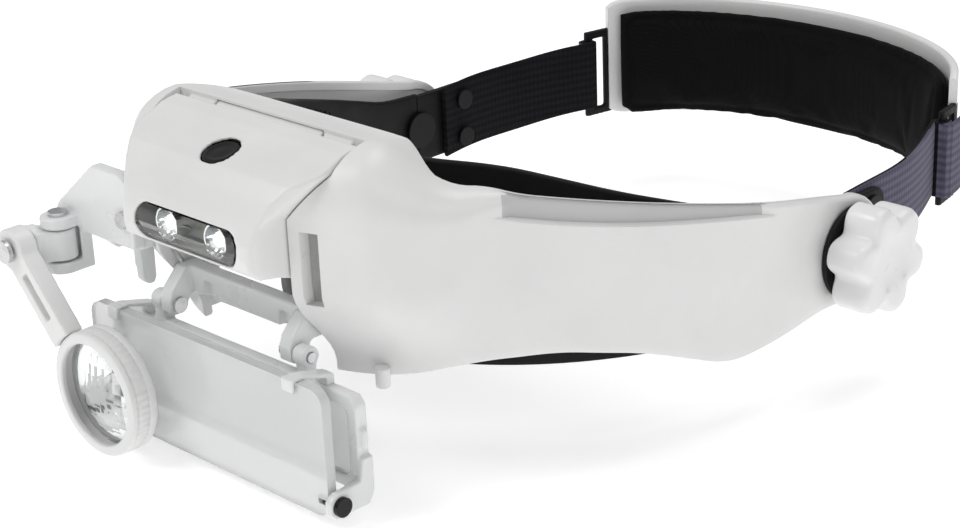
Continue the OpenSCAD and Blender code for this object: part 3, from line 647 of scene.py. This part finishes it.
# ---------------------------------------------------------------- small mouldings, edges rounded over
# node: voxel in millimetres, smoothing passes, material
SMALL_MOULDINGS = {
    "lens_bracket": (0.4, 3, MILKY), "loupe_bracket": (0.42, 4, MILKY), "loupe_bar": (0.35, 4, MILKY),
    "loupe_link": (0.35, 4, WHITE), "rear_lens_frame": (0.42, 3, MILKY), "lens_clips": (0.25, 3, MILKY),
    "battery_door": (0.35, 2, WHITE),
    "strap_loop_left": (0.42, 3, BLACK), "strap_loop_right": (0.42, 3, BLACK),
}
for node, (voxel, passes, paint) in SMALL_MOULDINGS.items():
    dress(soften(node, voxel, passes), paint)

# loupe ring: a turned rim with a knurled grip
RING = (-29.2, -154, -17.4)
RING_DEPTH = 8
RIM = [(13.2, 0.35), (13.5, 0), (15.2, 0), (15.9, 0.3), (16.2, 1.0), (16.2, 1.5), (16.0, 1.9), (16.2, 2.2),
       (16.2, 3.5), (16.2, 4.8), (16.0, 5.2), (16.2, 5.6), (16.2, 6.8), (15.9, 7.4), (15.3, 7.6), (14.7, 7.5),
       (14.4, 7.2), (14.4, 1.4), (13.2, 1.4), (13.2, 0.35)]


def knurl(a, r, h):
    """fine ribs round the grip"""
    return r - (0.22 * (0.5 - 0.5 * cos(56 * a)) if r > 15.9 and 1.4 < h < 5.6 else 0)


rim_front = (RING[0], RING[1] - RING_DEPTH / 2, RING[2])
ring = lathe("loupe_rim", RIM, rim_front, (0, 1, 0), "loupe_head", 224, knurl)
dress(ring, WHITE)
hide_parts("loupe_ring")

# ---------------------------------------------------------------- headband
BAND_W, BAND_REACH, BAND_T = 78.0, 102.0, 2.2


def band_point(deg, grow):
    return Vector(((BAND_W + grow) * cos(radians(deg)), -(BAND_REACH + grow) * sin(radians(deg))))


def band_inward(deg):
    return -Vector((cos(radians(deg)) / BAND_W, -sin(radians(deg)) / BAND_REACH)).normalized()


def band_low(fwd):
    return eased(fwd, [(0, -11), (14, -11), (50, -14.5), (104, -14)])


def band_high(fwd):
    return eased(fwd, [(0, 11), (14, 12), (47, 23), (64, 29), (76, 34), (86, 38), (104, 40)])


def slab_ring(p, inward, t, low, high, r, n=5, rows=10):
    """rounded cross-section of a band of thickness t that runs up from low to high"""
    r = min(r, t / 2 - 0.02)
    corners = [((r, low + r), pi, 1.5 * pi), ((t - r, low + r), 1.5 * pi, 2 * pi),
               ((t - r, high - r), 0, pi / 2), ((r, high - r), pi / 2, pi)]
    out = []
    for (cx, cz), a0, a1 in corners:
        out += [(cx + r * cos(mix(a0, a1, k / n)), cz + r * sin(mix(a0, a1, k / n))) for k in range(n + 1)]
        if a0 == 1.5 * pi:
            out += [(t, mix(low + r, high - r, k / rows)) for k in range(1, rows)]
        if a0 == pi / 2:
            out += [(0, mix(high - r, low + r, k / rows)) for k in range(1, rows)]
    return [(p.x + inward.x * d, p.y + inward.y * d, z) for d, z in out]


band_rings = []
for d in range(0, 181, 2):
    fwd = BAND_REACH * sin(radians(d))
    band_rings.append(slab_ring(band_point(d, 0), band_inward(d), BAND_T, band_low(fwd), band_high(fwd), 0.8))
band = loft("brow_band_moulding", band_rings, "headband")
dress(band, BLACK)
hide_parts("brow_band")
# half height of the band's end at stations behind the knob axis
LUG = [(-0.5, 10.5), (4, 10.5), (10, 10.5), (18, 10.5), (20.4, 10.1), (21.6, 9.2), (22, 8.0)]
for side, tag in SIDES:
    lug_rings = [slab_ring(Vector((side * BAND_W, y)), Vector((-side, 0)), BAND_T + 0.2, -h, h, 0.7)
                 for y, h in LUG]
    lug = loft("band_lug_" + tag, lug_rings, "headband")
    dress(lug, BLACK)


# ---------------------------------------------------------------- padded pieces
def inflate(o, voxel, cap_mm, pressure=4.0):
    """stuffed fabric by cloth simulation: the skin swells, and no point moves further than the cap"""
    m = o.modifiers.new("voxels", "REMESH")
    m.mode, m.voxel_size = "VOXEL", voxel * MM
    bake(o)
    start = [v.co.copy() for v in o.data.vertices]
    c = o.modifiers.new("cloth", "CLOTH")
    c.settings.use_pressure = True
    c.settings.uniform_pressure_force = pressure
    c.settings.effector_weights.gravity = 0
    c.settings.mass = 0.2
    c.settings.tension_stiffness = 12
    c.settings.quality = 5
    scene = bpy.context.scene
    for f in range(1, 21):
        scene.frame_set(f)
    bake(o)
    scene.frame_set(1)
    for v, s0 in zip(o.data.vertices, start):
        d = v.co - s0
        if d.length > cap_mm * MM:
            v.co = s0 + d.normalized() * cap_mm * MM
    sub = o.modifiers.new("fine", "SUBSURF")
    sub.levels = sub.render_levels = 1
    bake(o)
    for p in o.data.polygons:
        p.use_smooth = True
    return o


REAR_W, REAR_FROM, REAR_REACH, PAD_H, PAD_Z = 70.0, 58.0, 108.0, 34.0, 5.0
REAR_D = REAR_REACH - REAR_FROM


def rear_point(deg, grow):
    return Vector(((REAR_W + grow) * cos(radians(deg)), REAR_FROM + (REAR_D + grow) * sin(radians(deg))))


def rear_inward(deg):
    return -Vector((cos(radians(deg)) / REAR_W, sin(radians(deg)) / REAR_D)).normalized()


def end_fade(deg, start, run=8):
    return sqrt(max(1 - (max(start + run - min(deg, 180 - deg), 0) / run) ** 2, 0.02))


def pad_ring(p, inward, t, low, high):
    """cushion cross-section: full in the middle, thin at both rims"""
    out = []
    for k in range(28):
        a = 2 * pi * k / 28
        u = math.copysign(abs(cos(a)) ** 0.75, cos(a))
        v = math.copysign(abs(sin(a)) ** 0.6, sin(a))
        out.append((t / 2 + u * t / 2, mix(low, high, 0.5 + v / 2)))
    return [(p.x + inward.x * d, p.y + inward.y * d, z) for d, z in out]


def cushion_half_h(fade):
    return PAD_H / 2 * mix(0.8, 0.97, fade)


# rear pad
pad_rings = []
for d in [22.5 + 135 * k / 54 for k in range(55)]:
    f = end_fade(d, 22)
    h = cushion_half_h(f)
    low, high = PAD_Z - h, PAD_Z + h + 2.3
    pad_rings.append(pad_ring(rear_point(d, -3.6), rear_inward(d), mix(3.6, 5.6, f), low, high))
rear_pad = inflate(loft("rear_pad_cushion", pad_rings), 2.2, 1.5)
for v in rear_pad.data.vertices:
    x, y, z = v.co / MM
    dy = y - REAR_FROM
    s = sqrt((x / (REAR_W - 2.75)) ** 2 + (dy / (REAR_D - 2.75)) ** 2)
    if s > 1:
        x, dy = x / s, dy / s
    q = sqrt((x / (REAR_W - 6.5)) ** 2 + (dy / (REAR_D - 6.5)) ** 2)
    if q < 1.0 and dy > 0:  # sewn channel a little way inside the rim of the face
        deg = math.degrees(atan2(dy / (REAR_D - 8), x / (REAR_W - 8)))
        f = end_fade(min(max(deg, 22.6), 157.4), 22)
        to_rim = min(cushion_half_h(f) + 2.1 - abs(z - PAD_Z - 1.15), min(deg, 180 - deg) - 21.5)
        sink = 0.9 * math.exp(-((to_rim - 4.2) / 0.9) ** 2)
        x, dy = x * (1 + sink / 64), dy * (1 + sink / 44)
    v.co = Vector((x, REAR_FROM + dy, z)) * MM
dress(rear_pad, FOAM)
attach(rear_pad, "rear_cradle")
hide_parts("rear_pad")

# brow pad
brow_rings = []
for d in [25 + 130 * k / 60 for k in range(61)]:
    p = band_point(d, -BAND_T - 0.55)
    fwd = BAND_REACH * sin(radians(d))
    t = 3.1 * max(ramp(min(d - 18, 162 - d), 0, 16), 0.3)
    brow_rings.append(pad_ring(p, band_inward(d), t, band_low(fwd) + 2.4, band_high(fwd) - 2.4))
brow = inflate(loft("brow_pad_cushion", brow_rings), 1.5, 0.4)
dress(brow, FOAM)
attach(brow, "headband")
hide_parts("brow_pad")

# rear shell: a thin moulding that wraps the pad and shows above and beyond it
rear_rings = []
for d in [20 + 140 * k / 90 for k in range(91)]:
    h = PAD_H / 2 * mix(0.86, 1, end_fade(d, 20))
    rear_rings.append(slab_ring(rear_point(d, 0), rear_inward(d), 2.4, PAD_Z - h, PAD_Z + h + 4, 1.0))
rear = loft("rear_shell_moulding", rear_rings, "rear_cradle")
dress(rear, WHITE)
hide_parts("rear_shell")


# ---------------------------------------------------------------- straps
STRAP_FROM, LOOP, STRAP_W, STRAP_T = 9.5, (66.0, 69.0, 3.0), 22.0, 1.6
STRAP_FROM_X, STRAP_BOW = 75.2, 4.2
STRAP_TO = (LOOP[0] - 1.2, LOOP[1] - 2.2)
LOOP_TURN = radians(11)


def strap_point(t):
    x = mix(STRAP_FROM_X, STRAP_TO[0], t) + STRAP_BOW * sin(pi * t)
    return Vector((x, mix(STRAP_FROM, STRAP_TO[1], t)))


def strap_inward(t):
    d = strap_point(min(t + 0.02, 1)) - strap_point(max(t - 0.02, 0))
    return Vector((-d.y, d.x)).normalized()


def loop_point(side, u, v, z):
    """a point in the turned frame of a strap loop: u outwards, v to the rear"""
    c, sn = cos(LOOP_TURN), sin(LOOP_TURN)
    return (side * (LOOP[0] + u * c - v * sn), LOOP[1] + u * sn + v * c, LOOP[2] + z)


def two_faced(o, side):
    """webbing that is black on the head's side and purple-grey outside"""
    dress(o, STRAP_IN, STRAP_OUT)
    for f in o.data.polygons:
        f.material_index = 1 if f.normal.x * side > 0.2 else 0


def strap_run(side, tag):
    """the webbing between the band's end and the loop"""
    rings = []
    for k in range(61):
        t = k / 60
        z = LOOP[2] * t + 0.25 * sin(9 * t)
        low, high = z - STRAP_W / 2, z + STRAP_W / 2
        ring = slab_ring(strap_point(t), strap_inward(t), STRAP_T, low, high, 0.7, 4, 20)
        rings.append([(side * x, y, zz) for x, y, zz in ring])
    strap = loft("webbing_" + tag, rings, "headband")
    two_faced(strap, side)
    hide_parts("strap_" + tag)
    return strap


def strap_fold(side, tag):
    """the end of the webbing, folded round the loop's front bar"""
    rings = []
    count = 40
    for z in [-11, -10.9] + [-10.8 + 0.9 * k for k in range(25)] + [10.9, 11]:
        inset = 0.35 * max(0.0, (abs(z) - 10.8) / 0.2)
        path = []
        for k in range(count):
            a = 2 * pi * k / count
            u = math.copysign(abs(cos(a)) ** 0.45, cos(a)) * (2.35 - inset)
            v = math.copysign(abs(sin(a)) ** 0.55, sin(a)) * (2.45 - inset) - 2.1
            path.append(loop_point(side, u, v, z))
        rings.append(path)
    two_faced(loft("webbing_fold_" + tag, rings, "rear_cradle", angle=60), side)


def strap_tail(side, tag):
    """the spare webbing, laid back over the outer side of the loop"""
    rings = []
    for k in range(25):
        v = mix(-4.6, 6.2, k / 24)
        u = 1.5 + 1.0 * ramp(v, -4.6, -2.4) - 0.25 * ramp(v, 2, 6)
        half = 11 - 0.5 * ramp(v, 5.4, 6.2)
        section = slab_ring(Vector((u + 1.1, v)), Vector((-1, 0)), 1.1, -half, half, 0.5, 4, 20)
        rings.append([loop_point(side, a, b, z) for a, b, z in section])
    tail = loft("webbing_tail_" + tag, rings, "rear_cradle", angle=60)
    dress(tail, STRAP_OUT)


for side, tag in SIDES:
    strap = strap_run(side, tag)
    strap_fold(side, tag)
    if tag == "left":
        strap_tail(side, tag)
    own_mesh(strap)

# ---------------------------------------------------------------- carried-over CAD nodes
CARRIED = {
    "knob_washers": RUBBER, "lamp_hinge_pin": STEEL, "bracket_screws": STEEL, "lens_hinge_pins": STEEL,
    "loupe_bracket_screw": STEEL, "loupe_bar_pin": STEEL, "pivot_bolts": BLACK, "friction_washers": RUBBER,
    "strap_rivets": BLACK, "lamp_window": WINDOW, "reflectors": CHROME, "leds": LED, "led_board": BOARD,
    "switch_body": BLACK, "battery_cells": CELL, "battery_contacts": STEEL, "rear_lens": PLATE,
    "front_lens_screws": BLACK_GLOSS, "front_lens": PLATE, "loupe_joint_screw": STEEL, "loupe_lens": LENS,
    "loupe_retainer": MILKY,
}
for name, paint in CARRIED.items():
    dress(NODES[name], paint)

# ---------------------------------------------------------------- camera, light and floor
AZIMUTH, ELEVATION, ROLL = radians(45.3), radians(22.0), radians(-2.4)
DISTANCE, FOCAL = 0.5788, 79.6
TARGET = Vector((-0.0066, -0.0449, -0.0125))
back = Vector((sin(AZIMUTH) * cos(ELEVATION), -cos(AZIMUTH) * cos(ELEVATION), sin(ELEVATION)))
right = Vector((0, 0, 1)).cross(back).normalized()
up = back.cross(right)
right, up = right * cos(ROLL) + up * sin(ROLL), -right * sin(ROLL) + up * cos(ROLL)
cam = bpy.data.objects.new("camera", bpy.data.cameras.new("camera"))
bpy.context.scene.collection.objects.link(cam)
pos = TARGET + back * DISTANCE
cam.matrix_world = Matrix([(*row, at) for row, at in zip(zip(right, up, back), pos)] + [(0, 0, 0, 1)])
cam.data.lens, cam.data.sensor_width = FOCAL, 36.0
cam.data.clip_start, cam.data.clip_end = 0.01, 20
cam.data.dof.use_dof = False
bpy.context.scene.camera = cam


def area(name, at, towards, size, power, colour=(1, 1, 1)):
    d = bpy.data.lights.new(name, "AREA")
    d.shape, d.size, d.energy, d.color = "DISK", size, power, colour
    o = bpy.data.objects.new(name, d)
    bpy.context.scene.collection.objects.link(o)
    o.location = at
    o.rotation_euler = (Vector(towards) - Vector(at)).to_track_quat("-Z", "Y").to_euler()


area("key", (-0.45, -0.75, 0.95), (0, -0.05, 0), 0.6, 4.6)
area("top", (0.1, 0.3, 1.1), (0, 0, 0), 0.7, 3.0)
area("side", (0.9, -0.1, 0.6), (0, -0.05, 0), 0.5, 0.9)
world = bpy.data.worlds.new("studio")
world.use_nodes = True
bg = world.node_tree.nodes["Background"]
bg.inputs[0].default_value = (1.0, 1.0, 1.0, 1)
bg.inputs[1].default_value = 0.42
bpy.context.scene.world = world

bpy.context.view_layer.update()
ground = min(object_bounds()[0][2], cad_box[0][2]) - 0.0004
FLOOR_HALF = 4000
corners = [(-1, -1), (1, -1), (1, 1), (-1, 1)]
floor_points = [(FLOOR_HALF * x, FLOOR_HALF * y, ground / MM) for x, y in corners]
floor = new_object("floor", floor_points, [[0, 1, 2, 3]])


def paper():
    """plain pale paper, lit a little from behind"""
    p = Paint("paper", (0.93, 0.93, 0.93), 0.9, Emission_Strength=0.45)
    p.bsdf.inputs["Emission Color"].default_value = (1, 1, 1, 1)
    p.bump(p.noise(900, 3), 0.05, 0.1)
    col = p.colour(p.noise(20, 3), (0.92, 0.92, 0.92), (0.94, 0.94, 0.94))
    return p.done(col, p.span(p.noise(300), 0.3, 0.7, 0.85, 0.95))


dress(floor, paper())
view = bpy.context.scene.view_settings
view.view_transform, view.look = "Standard", "None"
view.exposure, view.gamma = 0.0, 1.0
